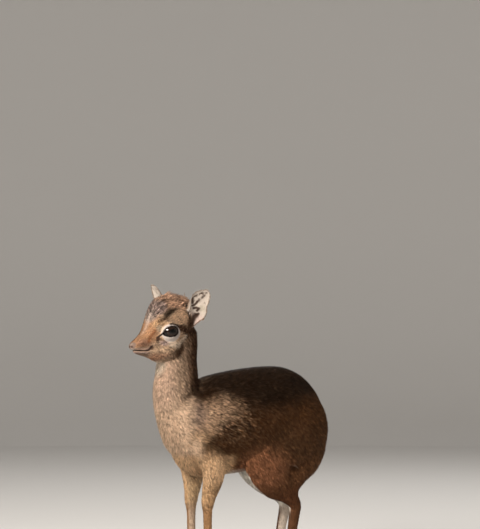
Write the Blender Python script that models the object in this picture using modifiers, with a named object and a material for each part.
"""A young dik-dik as a still, life-size model, its left hind foot a little ahead and its head turned.

The animal faces -Y, its left side is +X, and the floor is z = 0. Tables are in millimetres, which MM turns into
metres. The outlines are those of the coat, out to its tips.
"""

import math
import random

import bmesh
import bpy
import numpy as np
from mathutils import Matrix, Vector
from mathutils.bvhtree import BVHTree

MM = 0.001
GAP = 0.3 * MM
SIDES = {"left": 1, "right": -1}
ACROSS = Vector((1, 0, 0))
BACKWARD = Vector((0, 1, 0))
UP = Vector((0, 0, 1))

# The head has its own frame: the origin is midway between the eyes, u runs to the nose, v to its left, w up.
HEAD_ORIGIN = Vector((6, -115, 289.5)) * MM
HEAD_TURN = math.radians(14)
HEAD_FORWARD = Vector((math.sin(HEAD_TURN), -math.cos(HEAD_TURN), 0))
HEAD_LEFT = Vector((math.cos(HEAD_TURN), math.sin(HEAD_TURN), 0))

EYE_RADIUS = 10.3
EYE_CENTRE = (-4.5, 14, -1.2)
GAZE = (0.28, 0.95, 0.06)
LID_RADIUS = 12.3
LID_LONG = 10.6
LID_HIGH = 6.7

# Trunk, from rump to chest: place along it, top, widest level, bottom, half width.
TRUNK = (
    (106, 198, 178, 150, 16),
    (96, 219, 180, 143, 28),
    (78, 237, 185, 138, 37),
    (55, 247, 186, 132, 43),
    (30, 248.5, 184, 125, 46),
    (0, 246, 182, 121, 46),
    (-30, 241.5, 180, 118, 43),
    (-60, 234, 176, 117, 38),
    (-80, 222, 172, 126, 32),
    (-90, 200, 172, 143, 24),
    (-96.5, 182, 170, 158, 11),
)
# Neck, from the skull down into the chest: centre, then half width, front and back.
NECK = (
    (0, -95, 305, 8, 12, 15),
    (0, -93, 297, 14, 18, 25.5),
    (0, -92, 286, 18, 20, 31),
    (-1, -90, 273, 19.5, 21.5, 30.5),
    (-1, -89, 257, 21, 23, 28.2),
    (0, -88.5, 240, 23, 25.5, 28),
    (0, -88.5, 218, 26.5, 28.5, 30),
    (0, -84, 195, 29, 29.5, 33),
    (0, -76, 170, 31, 28.5, 34),
    (0, -66, 150, 27, 22, 32),
    (0, -56, 136, 18, 14, 20),
)
# Skull and upper jaw, from the back of the skull to the nose.
SKULL = (
    (-43, 33, 8, -10, 9),
    (-38, 40, 11, -18, 17),
    (-28, 43, 12, -27, 21.5),
    (-16, 43.5, 8, -33, 22.5),
    (-4, 41.5, 4, -34, 21.5),
    (3, 37.6, 2, -32, 19.5),
    (8.6, 28.8, -1, -28.6, 16.8),
    (13.6, 15.5, -4, -25.6, 14.4),
    (18.2, 4.6, -7, -23.2, 12.5),
    (25, -3.6, -11, -22, 10.8),
    (32, -9, -14, -21.8, 9.2),
    (37.5, -13.3, -16, -22.3, 7.2),
    (41, -16.4, -18, -21.2, 3.6),
)
# Lower jaw, from its angle to the chin.
JAW = (
    (-26, -8, -18, -27, 12),
    (-14, -8, -20, -35, 16),
    (0, -10, -22, -37.5, 15),
    (9, -15, -23, -33.5, 12.5),
    (17, -18, -24, -30.6, 10),
    (26, -20.5, -24.6, -28.4, 7.4),
    (32, -21.5, -24.2, -26.8, 5.3),
    (36.2, -22.3, -23.5, -24.8, 3),
)
# Left foreleg, from the shoulder to the hoof.
FORELEG = (
    (21, -70, 180, 13, 22, 24),
    (26, -66, 157, 13.5, 19, 24),
    (28.5, -58, 137, 11.8, 15, 24),
    (28, -55, 124, 10.3, 12.5, 19),
    (26, -54, 112, 9.4, 12, 14.5),
    (23, -56, 97, 7.8, 9.8, 10.2),
    (22, -57, 87, 7, 8.8, 8.2),
    (21.5, -57, 76, 5.8, 6.3, 5.9),
    (21.5, -57, 55, 5.2, 5.7, 5.7),
    (21.5, -57.5, 36, 5.2, 5.8, 6),
    (21.5, -58, 26, 6.5, 6.6, 7.2),
    (21.5, -62, 17, 6.1, 6.2, 6.4),
    (21.5, -65.5, 10, 7.2, 7.6, 7),
    (21.5, -66, 6, 6.8, 7, 6.4),
)
# Left hind leg, from the hip: thigh, shank, hock, cannon and pastern.
HIND_LEG = (
    (22, 60, 190, 20, 40, 38),
    (26, 46, 160, 18, 40, 40),
    (26, 40, 133, 14, 36, 36),
    (24, 50, 110, 10.5, 24, 24),
    (23, 62, 94, 8.5, 12, 13),
    (22, 70, 82, 7.2, 8.6, 9.5),
    (21.5, 69, 70, 6.4, 7.2, 7.8),
    (21.5, 66, 55, 5.8, 6.8, 6.8),
    (21.5, 63, 38, 5.6, 6.3, 6.3),
    (21.5, 60.5, 27, 6.5, 6.7, 7.2),
    (21.5, 56, 17, 6.1, 6.2, 6.4),
    (21.5, 52.5, 10, 7.2, 7.6, 7),
    (21.5, 52, 6, 6.8, 7, 6.4),
)
# Round masses of muscle and coat on the left side: centre, then half sizes.
MASSES = (((20, 63, 172), (25.5, 43, 50)), ((20.5, -74, 180), (16, 26, 40)))
# Left ham, from the buttock down to the tendon of the hock.
HAM = (
    (19, 80, 176, 17, 22, 22),
    (21, 81, 160, 18, 22, 24),
    (22, 80, 146, 17, 20, 23.5),
    (22.5, 77, 131, 14, 18, 20),
    (23, 71, 115, 10.5, 14, 12),
    (23, 67, 101, 8, 10, 7),
    (22, 69, 89, 6, 7, 6),
)
# How much further ahead the left hind leg stands than its mirror image, by level: level, leg, ham.
LEFT_STEP = ((60, 9, 9), (90, 11.5, 10), (110, 17, 8.5), (133, 16, 5), (160, 6, 1.5), (190, 0, 0))

# The same on the left of the head, in its own frame: cheek, temple, brow, lip pad.
HEAD_MASSES = (
    ((-11, 11.5, -19), (18, 10, 15)),
    ((-16, 12.5, 9), (19, 10, 17)),
    ((-5, 12.5, 9), (14, 9, 10)),
    ((32, 3.5, -17.5), (8, 5, 4.4)),
)
# Rows of locks on the crown, from the back: place, level, half width of the row, number and length.
CREST = ((-38, 40, 14, 5, 12), (-29, 43, 14, 5, 15), (-20, 44, 13, 5, 17), (-11, 43, 11, 4, 17), (-3, 41, 8, 4, 14))
TAIL = (
    (0, 88, 214, 6, 5, 5),
    (0, 99, 205, 6.2, 5, 5),
    (0, 105, 193, 5.6, 4.8, 4.8),
    (0, 107.5, 181, 4.4, 4, 4),
    (0, 107.5, 171, 2.6, 2.4, 2.4),
    (0, 107, 167, 0.6, 0.6, 0.6),
)

# Half of the mouth line, from the middle of the lips to the corner, as rays from inside the muzzle: where each
# starts, its angle in degrees from straight ahead, and its level.
LIPS = (
    (33, 0, -22.4),
    (33, 30, -22.5),
    (32, 58, -22.6),
    (30, 78, -22.6),
    (25, 88, -22.4),
    (19.5, 90, -20.8),
    (14.5, 90, -17),
)

# Regions that divide the flesh: the thigh by level, with its inner edge, front and back; the rest by planes.
THIGH = (
    (222, 48, 45, 78),
    (212, 43, 30, 92),
    (190, 34, 14, 112),
    (160, 24, 4, 126),
    (136, 13, 1, 126),
    (118, 4, 2, 122),
    (60, 4, 2, 122),
    (-8, 4, 2, 122),
)
# Planes: centre, normal, the direction of the width, then length and width.
NECK_BASE = ((0, -87, 216), (0, -0.542, 0.84), (1, 0, 0), 104, 120)
SEEDS = {
    "forearm": (27, -54, 110),
    "fore_cannon": (21.5, -57, 50),
    "thigh": (42, 60, 170),
    "shank": (23, 62, 90),
    "hind_cannon": (21.5, 64, 45),
}
LEG_PLANES = (
    ((35, -70, 138.6), (0.785, 0, -0.62), (0.62, 0, 0.785), 110, 80),
    ((21.5, -57, 81), (0, 0, 1), (1, 0, 0), 40, 30),
    ((24, 55, 103), (0, 0.28, -0.96), (1, 0, 0), 96, 44),
    ((21.5, 69, 76.5), (0, 0.15, -0.99), (1, 0, 0), 40, 30),
)


def between(stations, steps):
    """Rows of values on a smooth curve through the stations, a few steps to each span."""
    rows = np.array(stations, float)
    slopes = np.gradient(rows, axis=0)
    found = []
    for start, end, leave, arrive in zip(rows, rows[1:], slopes, slopes[1:]):
        for t in np.arange(steps) / steps:
            found.append(
                (1 + 2 * t) * (1 - t) ** 2 * start
                + t * (1 - t) ** 2 * leave
                + t * t * (3 - 2 * t) * end
                + t * t * (t - 1) * arrive
            )
    return [*found, rows[-1]]


def stepped(y, z, side, column=1):
    """How far back a place on a hind leg is, once the left one has taken its step."""
    levels = [row[0] for row in LEFT_STEP]
    steps = [row[column] for row in LEFT_STEP]
    return y - (np.interp(z, levels, steps) if side > 0 else 0)


def stepped_rows(rows, side, column=1):
    """Stations of a hind leg's table, once the left leg has taken its step."""
    return [(row[0], stepped(row[1], row[2], side, column), *row[2:]) for row in rows]


def ring(centre, across, upright, side, rise, drop, count=24, power=2.0):
    """Points round an egg-shaped section: half width side, rise above the widest line and drop below it."""
    points = []
    for i in range(count):
        angle = 2 * math.pi * i / count
        c = math.cos(angle)
        s = math.sin(angle)
        x = side * math.copysign(abs(c) ** (2 / power), c)
        z = (rise if s > 0 else drop) * math.copysign(abs(s) ** (2 / power), s)
        points.append(centre + across * x + upright * z)
    return points


def loft(bm, rings):
    """Adds one closed tube through the rings."""
    loops = [[bm.verts.new(point) for point in points] for points in rings]
    faces = [bm.faces.new(loops[0]), bm.faces.new(loops[-1])]
    for one, other in zip(loops, loops[1:]):
        for i in range(len(one)):
            j = (i + 1) % len(one)
            faces.append(bm.faces.new((one[i], one[j], other[j], other[i])))
    bmesh.ops.recalc_face_normals(bm, faces=faces)
    return faces


def upright_loft(bm, stations, place, across):
    """A body whose sections stand upright, each given by place, top, widest level, bottom and half width."""
    rings = []
    for along, top, wide, bottom, side in between(stations, 4):
        rise = (top - wide) * MM
        drop = (wide - bottom) * MM
        rings.append(ring(place(along, wide), across, UP, side * MM, rise, drop, 28))
    loft(bm, rings)


def limb(bm, stations, side=1, steps=4, count=24):
    """A limb whose sections stand square to its line."""
    rows = between(stations, steps)
    centres = [Vector((side * row[0], row[1], row[2])) * MM for row in rows]
    rings = []
    for i, row in enumerate(rows):
        along = centres[min(i + 1, len(rows) - 1)] - centres[max(i - 1, 0)]
        front = along.normalized().cross(ACROSS).normalized()
        width, fore, aft = row[3:] * MM
        rings.append(ring(centres[i], ACROSS, front, width, fore, aft, count))
    loft(bm, rings)


def ball(bm, centre, radii, segments=32):
    """An ellipsoid with its axes along X, Y and Z."""
    place = Matrix.Translation(centre) @ Matrix.Diagonal((*radii, 1))
    return bmesh.ops.create_uvsphere(bm, u_segments=segments, v_segments=segments // 2, radius=1, matrix=place)


def head_vector(u, v, w):
    """A direction in the head's frame, as one of the model."""
    return HEAD_FORWARD * u + HEAD_LEFT * v + UP * w


def head_point(u, v, w):
    """A place in the head's frame, as a point of the model."""
    return HEAD_ORIGIN + head_vector(u, v, w) * MM


def head_ball(bm, centre, radii, segments=32):
    """An ellipsoid with its axes along the head's own."""
    turn = Matrix((head_vector(1, 0, 0), head_vector(0, 1, 0), UP)).transposed().to_4x4()
    place = Matrix.Translation(head_point(*centre)) @ turn @ Matrix.Diagonal((*(Vector(radii) * MM), 1))
    return bmesh.ops.create_uvsphere(bm, u_segments=segments, v_segments=segments // 2, radius=1, matrix=place)


def mesh_object(name, bm, collection):
    mesh = bpy.data.meshes.new(name)
    bm.to_mesh(mesh)
    bm.free()
    obj = bpy.data.objects.new(name, mesh)
    collection.objects.link(obj)
    return obj


def helper(name, bm):
    """A cutter or another shape that isn't part of the model."""
    obj = mesh_object(name, bm, cutters)
    obj.hide_render = True
    return obj


def settle(obj):
    """Applies the object's modifiers."""
    graph = bpy.context.evaluated_depsgraph_get()
    mesh = bpy.data.meshes.new_from_object(obj.evaluated_get(graph), depsgraph=graph)
    obj.modifiers.clear()
    obj.data = mesh
    mesh.name = obj.name


def fuse(obj, voxel, rounds, triangles):
    """Makes overlapping closed shapes one smooth surface of about so many triangles."""
    remesh = obj.modifiers.new("fuse", "REMESH")
    remesh.mode = "VOXEL"
    remesh.voxel_size = voxel * MM
    smooth = obj.modifiers.new("smooth", "SMOOTH")
    smooth.factor = 0.5
    smooth.iterations = rounds
    settle(obj)
    count = sum(len(face.vertices) - 2 for face in obj.data.polygons)
    thin = obj.modifiers.new("thin", "DECIMATE")
    thin.ratio = min(1, triangles / count)
    settle(obj)


def combine(obj, other, operation):
    """One Boolean with another object, applied."""
    boolean = obj.modifiers.new(operation.lower(), "BOOLEAN")
    boolean.operation = operation
    boolean.object = other
    boolean.solver = "EXACT"
    settle(obj)


def islands(obj):
    """The object's separate closed surfaces as meshes of their own, largest first."""
    source = bmesh.new()
    source.from_mesh(obj.data)
    bmesh.ops.triangulate(source, faces=source.faces[:])
    bmesh.ops.remove_doubles(source, verts=source.verts[:], dist=0.002 * MM)
    seen = {}
    for face in source.faces:
        seen.setdefault(frozenset(face.verts), []).append(face)
    folded = [face for same in seen.values() if len(same) > 1 for face in same]
    bmesh.ops.delete(source, geom=folded, context="FACES_ONLY")
    left = set(source.verts)
    found = []
    while left:
        group = set()
        front = [left.pop()]
        while front:
            vert = front.pop()
            group.add(vert)
            for edge in vert.link_edges:
                other = edge.other_vert(vert)
                if other in left:
                    left.remove(other)
                    front.append(other)
        piece = bmesh.new()
        made = {vert: piece.verts.new(vert.co) for vert in group}
        for face in source.faces:
            if face.verts[0] in group:
                piece.faces.new([made[vert] for vert in face.verts])
        found.append(piece)
    source.free()
    return sorted(found, key=lambda piece: -piece.calc_volume())


def keep_largest(obj):
    first, *others = islands(obj)
    first.to_mesh(obj.data)
    first.free()
    for other in others:
        other.free()


def grown(obj, amount):
    """A helper copy of the object, a little larger all round."""
    copy = obj.copy()
    copy.data = obj.data.copy()
    copy.name = obj.name + "_grown"
    copy.hide_render = True
    cutters.objects.link(copy)
    swell = copy.modifiers.new("swell", "DISPLACE")
    swell.strength = amount
    swell.mid_level = 0
    settle(copy)
    return copy


def slab(bm, centre, normal, across, length, width, thickness=GAP):
    """A thin box on a plane: width lies along across, length square to it."""
    normal = normal.normalized()
    across = across.normalized()
    turn = Matrix((across, normal.cross(across), normal)).transposed().to_4x4()
    size = Matrix.Diagonal((width, length, thickness, 1))
    bmesh.ops.create_cube(bm, size=1, matrix=Matrix.Translation(centre) @ turn @ size)


def add_plane(bm, plane, side):
    (x, y, z), normal, across, length, width = plane
    centre = (x, stepped(y, z, side) if y > 0 else y, z)
    mirror = Vector((side, 1, 1))
    facing = Vector(normal) * mirror
    sideways = Vector(across) * mirror
    slab(bm, Vector(centre) * mirror * MM, facing, sideways, length * MM, width * MM)


def distance(piece, point):
    """How far a closed mesh is from a point, by its nearest face."""
    _, _, _, away = BVHTree.FromBMesh(piece).find_nearest(point)
    return away


def half_space(name, centre, normal, across):
    """A box that holds everything on the normal's side of a plane."""
    normal = normal.normalized()
    bm = bmesh.new()
    slab(bm, centre + normal * 0.2, normal, across, 0.4, 0.4, 0.4)
    return helper(name, bm)


def paint(obj, colour, roughness):
    material = bpy.data.materials.new(obj.name)
    material.use_nodes = True
    shader = material.node_tree.nodes["Principled BSDF"]
    shader.inputs["Base Color"].default_value = (*colour, 1)
    shader.inputs["Roughness"].default_value = roughness
    obj.data.materials.clear()
    obj.data.materials.append(material)


def add_flesh(bm):
    """Trunk, neck and legs as overlapping closed shapes, with the back of the head."""
    upright_loft(bm, TRUNK, lambda y, z: Vector((0, y, z)) * MM, ACROSS)
    add_head(bm)
    for side in SIDES.values():
        limb(bm, FORELEG, side)
        limb(bm, stepped_rows(HIND_LEG, side), side)
        limb(bm, stepped_rows(HAM, side, 2), side)
        for (x, y, z), radii in MASSES:
            ball(bm, Vector((side * x, y, z)) * MM, Vector(radii) * MM)
        for y, z in ((-50.6, 25), (stepped(67.5, 26, side), 26)):
            for x in (17.5, 25.5):
                ball(bm, Vector((side * x, y, z)) * MM, Vector((1.8, 2.2, 3)) * MM, 16)


def add_head(bm):
    """Skull, jaws and lids as overlapping closed shapes, with the top of the neck."""
    upright_loft(bm, SKULL, lambda u, w: head_point(u, 0, w), HEAD_LEFT)
    upright_loft(bm, JAW, lambda u, w: head_point(u, 0, w), HEAD_LEFT)
    limb(bm, NECK)
    for side in SIDES.values():
        for (u, v, w), radii in HEAD_MASSES:
            head_ball(bm, (u, side * v, w), radii)
        u, v, w = EYE_CENTRE
        head_ball(bm, (u, side * v, w), (LID_RADIUS, LID_RADIUS, LID_RADIUS))


def eye_opening(side):
    """The almond between the lids, drawn out from the eye's centre along the gaze."""
    u, v, w = GAZE
    gaze = head_vector(u, side * v, w).normalized()
    front = (head_vector(1, 0, -0.26) - gaze * head_vector(1, 0, -0.26).dot(gaze)).normalized()
    rise = gaze.cross(front) * side
    if rise.z < 0:
        rise = -rise
    u, v, w = EYE_CENTRE
    centre = head_point(u, side * v, w)
    outline = []
    for i in range(28):
        angle = 2 * math.pi * i / 28
        c = math.cos(angle)
        s = math.sin(angle)
        corner = abs(c) ** 6
        along = LID_LONG * c * (1.12 if c > 0 else 1)
        high = LID_HIGH * s * (1 - 0.35 * corner) * (1 if s > 0 else 0.94)
        outline.append((along * MM, high * MM))
    bm = bmesh.new()
    rings = []
    for reach, scale in ((4, 0.75), (9, 0.95), (11.5, 1.0), (20, 1.3)):
        base = centre + gaze * (reach * MM)
        rings.append([base + front * (x * scale) + rise * (z * scale) for x, z in outline])
    loft(bm, rings)
    return helper("eye_opening", bm)


def mouth(surface):
    """A thin tube that follows the lip line over the muzzle."""
    half = between(LIPS, 4)
    line = [(u, -angle, w) for u, angle, w in half[:0:-1]] + [(u, angle, w) for u, angle, w in half]
    points = []
    for u, angle, w in line:
        out = head_vector(math.cos(math.radians(angle)), math.sin(math.radians(angle)), 0)
        point, _, _, _ = surface.ray_cast(head_point(u, 0, w) + out * 0.05, -out)
        points.append((point, out))
    rings = []
    for i, (point, out) in enumerate(points):
        fade = min(1, min(i, len(points) - 1 - i) / 4)
        thick = (0.35 + 0.5 * fade) * MM
        rings.append(ring(point, out, UP, thick * 2, thick, thick, 8))
    bm = bmesh.new()
    loft(bm, rings)
    line = helper("mouth", bm)
    fuse(line, 0.25, 2, 420)
    return line


def ear(name, root, tip, opening, backward, bow):
    """A cupped leaf with a notch in its rear edge. Its middle bows toward that edge, by bow in millimetres."""
    root = head_point(*root)
    tip = head_point(*tip)
    along = (tip - root).normalized()
    out = head_vector(*opening)
    out = (out - along * out.dot(along)).normalized()
    rear = along.cross(out).normalized()
    if rear.dot(head_vector(*backward)) < 0:
        rear = -rear
    length = (tip - root).length
    # Share of the length, front edge, rear edge, depth of the cup and thickness, in millimetres.
    stations = (
        (-0.22, 4.0, 4.5, 6.0, 2.0),
        (0.0, 4.8, 9.4, 8.8, 2.0),
        (0.18, 6.2, 12.8, 9.4, 1.9),
        (0.34, 8.4, 12.4, 8.2, 1.8),
        (0.50, 11.6, 9.2, 6.8, 1.7),
        (0.66, 13.5, 8.8, 5.4, 1.6),
        (0.80, 11.6, 7.8, 4.0, 1.5),
        (0.92, 6.6, 5.6, 2.2, 1.3),
        (1.0, 1.2, 1.6, 0.5, 0.9),
    )
    count = 8
    rings = []
    for share, fore, aft, deep, thick in stations:
        centre = root + along * (length * share) + rear * (4 * share * (1 - share) * bow * MM)
        inner = []
        outer = []
        for i in range(count + 1):
            t = -1 + 2 * i / count
            reach = (aft if t > 0 else fore) * math.sin(abs(t) * math.pi / 2) * math.copysign(1, t)
            sag = -deep * math.cos(abs(t) * math.pi / 2) ** 0.8 if abs(t) < 1 else 0
            curl = 1 + 0.9 * max(0, 0.25 - share) * abs(t)
            inner.append(centre + rear * (reach / curl * MM) + out * (sag * MM))
            edge = 0.25 + 0.75 * math.cos(abs(t) * math.pi / 2)
            slip = thick * edge
            outer.append(inner[-1] - out * (slip * MM) + rear * (0.35 * slip * t * MM))
        rings.append(inner + outer[::-1])
    bm = bmesh.new()
    loft(bm, rings)
    bmesh.ops.triangulate(bm, faces=bm.faces[:])
    return mesh_object(name, bm, model)


def add_lock(bm, surface, start, aim, length, width, lift):
    """One flat tapered lock of hair lying over the crown, with its tip free."""
    point, normal, _, _ = surface.find_nearest(start)
    along = (aim - normal * aim.dot(normal)).normalized()
    side = normal.cross(along)
    rings = []
    for share, wide, thick in ((0, 0.6, 0.9), (0.35, 1, 0.9), (0.72, 0.65, 0.65), (1, 0.1, 0.25)):
        base, out, _, _ = surface.find_nearest(point + along * (length * share))
        centre = base + out * (lift * share**1.5 - 0.45 * MM * (1 - share))
        rings.append(ring(centre, side, out, width / 2 * wide, thick * MM, thick * 0.7 * MM, 5))
    loft(bm, rings)


def crest(surface):
    """Overlapping locks over the crown, from the forehead back between the ears."""
    spread = random.Random(4)
    locks = []
    for row, (u, w, half, number, length) in enumerate(CREST):
        for i in range(number):
            share = (i + 0.5) / number * 2 - 1
            start = head_point(u + spread.uniform(-2, 2), share * half + spread.uniform(-0.8, 0.8), w)
            aim = head_vector(-1, 0.4 * share + spread.uniform(-0.25, 0.25), 0.1)
            bm = bmesh.new()
            size = length * spread.uniform(0.85, 1.15) * MM
            width = spread.uniform(3.2, 4.4) * MM
            add_lock(bm, surface, start, aim, size, width, spread.uniform(2.4, 5.6) * MM)
            locks.append(helper(f"lock_{row}_{i}", bm))
    return locks


def hoof(name, centre, inner):
    """One claw: a flat sole, a sloping toe and a flat inner side."""
    x, y = centre
    rings = []
    for z, width, toe, heel in (
        (0, 2.7, 9.2, 7.0),
        (0.8, 3.1, 9.8, 7.4),
        (4.5, 3.3, 7.6, 7.0),
        (8.5, 3.3, 5.4, 6.4),
        (10.6, 3.1, 4.2, 5.8),
    ):
        points = []
        for i in range(12):
            angle = 2 * math.pi * i / 12
            c = math.cos(angle)
            s = math.sin(angle)
            flat = 0.86 if c * inner > 0 else 1
            taper = 1 - 0.28 * max(0, s) ** 2
            across = width * c * flat * taper + inner * 1.1 * max(0, s) ** 2
            points.append(Vector((x + across, y - (toe if s > 0 else heel) * s, z)) * MM)
        rings.append(points)
    bm = bmesh.new()
    loft(bm, rings)
    return mesh_object(name, bm, model)


def thigh_region(side):
    """The closed region that the thigh fills, from its inner edge out past the flank."""
    rings = []
    for z, inner, front, back in THIGH:
        middle = (inner + 75) / 2
        front = stepped(front, z, side)
        centre = Vector((side * middle, (front + back) / 2, z)) * MM
        half = (back - front) / 2 * MM
        rings.append(ring(centre, ACROSS, BACKWARD, (75 - inner) / 2 * MM, half, half, 20, 3))
    bm = bmesh.new()
    loft(bm, rings)
    return bm


for old in list(bpy.data.objects):
    bpy.data.objects.remove(old)
model = bpy.data.collections.new("dik_dik")
cutters = bpy.data.collections.new("cutters")
bpy.context.scene.collection.children.link(model)
bpy.context.scene.collection.children.link(cutters)

# Head

bm = bmesh.new()
add_head(bm)
head = mesh_object("head", bm, model)
fuse(head, 0.7, 22, 2600)
surface = BVHTree.FromObject(head, bpy.context.evaluated_depsgraph_get())
neck_top = head_point(-18, 0, -14)
neck_up = (UP * 0.76 + head_vector(1, 0, 0) * 0.65).normalized()
combine(head, half_space("below_head", neck_top, -neck_up, HEAD_LEFT), "DIFFERENCE")
keep_largest(head)
for lock in crest(surface):
    combine(head, lock, "UNION")
keep_largest(head)
shell = grown(head, GAP)

for name, side in SIDES.items():
    u, v, w = EYE_CENTRE
    bm = bmesh.new()
    head_ball(bm, (u, side * v, w), (EYE_RADIUS + 0.3,) * 3, 22)
    combine(head, helper("socket", bm), "DIFFERENCE")
    combine(head, eye_opening(side), "DIFFERENCE")
    bm = bmesh.new()
    head_ball(bm, (41.0, side * 2.2, -18.4), (2.4, 1.1, 1.4), 12)
    combine(head, helper("nostril", bm), "DIFFERENCE")
    bm = bmesh.new()
    head_ball(bm, (u, side * v, w), (EYE_RADIUS,) * 3, 20)
    eye = mesh_object("eye_" + name, bm, model)
    paint(eye, (0.01, 0.008, 0.006), 0.08)
combine(head, mouth(surface), "DIFFERENCE")
keep_largest(head)
paint(head, (0.36, 0.22, 0.12), 0.85)

# Ears

ears = {
    "left": ear("ear_left", (-35, 21, 12), (-39, 44, 48), (0.62, 0.78, 0), (-1, 0, 0), 0),
    "right": ear("ear_right", (-29, -22, 14.5), (-28, -47, 55.5), (0.93, -0.37, 0), (-1, -1, 0), 2.6),
}
for obj in ears.values():
    combine(obj, shell, "DIFFERENCE")
    keep_largest(obj)
    paint(obj, (0.62, 0.48, 0.36), 0.85)

# Tail, trunk, neck and legs

bm = bmesh.new()
add_flesh(bm)
flesh = mesh_object("flesh", bm, model)
fuse(flesh, 1.1, 26, 4400)
combine(flesh, half_space("above_neck", neck_top - neck_up * GAP, neck_up, HEAD_LEFT), "DIFFERENCE")
combine(flesh, half_space("below_foot", Vector((0, 0, 10.9)) * MM, -UP, ACROSS), "DIFFERENCE")
keep_largest(flesh)
shell = grown(flesh, GAP)
for side in SIDES.values():
    region = helper("thigh_region", thigh_region(side))
    skin = region.modifiers.new("shell", "SOLIDIFY")
    skin.thickness = GAP
    skin.offset = 0
    settle(region)
    combine(flesh, region, "DIFFERENCE")
bm = bmesh.new()
add_plane(bm, NECK_BASE, 1)
for side in SIDES.values():
    for plane in LEG_PLANES:
        add_plane(bm, plane, side)
combine(flesh, helper("planes", bm), "DIFFERENCE")

seeds = {"neck": (0, -88, 240), "torso": (0, 0, 190)}
for name, side in SIDES.items():
    for part, (x, y, z) in SEEDS.items():
        seeds[f"{part}_{name}"] = (side * x, stepped(y, z, side) if y > 0 else y, z)
pieces = islands(flesh)
bpy.data.objects.remove(flesh)
for name, seed in seeds.items():
    nearest = min(pieces, key=lambda piece: distance(piece, Vector(seed) * MM))
    pieces.remove(nearest)
    paint(mesh_object(name, nearest, model), (0.36, 0.22, 0.12), 0.85)
for piece in pieces:
    print("left over:", piece.calc_volume() * 1e9, "mm3 near", piece.verts[:][0].co * 1000)
    piece.free()

bm = bmesh.new()
limb(bm, TAIL, 1, 2, 12)
tail = mesh_object("tail", bm, model)
combine(tail, shell, "DIFFERENCE")
keep_largest(tail)
paint(tail, (0.3, 0.19, 0.11), 0.85)

# Hooves

for name, side in SIDES.items():
    for foot, y in (("fore", -66), ("hind", stepped(52.5, 0, side))):
        for place, inner in (("inner", 1), ("outer", -1)):
            x = side * (21.5 - 3.55 * inner)
            claw = hoof(f"hoof_{foot}_{place}_{name}", (x, y), side * inner)
            paint(claw, (0.03, 0.025, 0.022), 0.4)

# The middle of the model's box stands over the origin.

corners = np.array([obj.matrix_world @ Vector(corner) for obj in model.objects for corner in obj.bound_box])
middle = (corners.min(axis=0) + corners.max(axis=0)) / 2
for obj in model.objects:
    obj.data.transform(Matrix.Translation((-middle[0], -middle[1], 0)))
print("moved by", -middle * 1000)
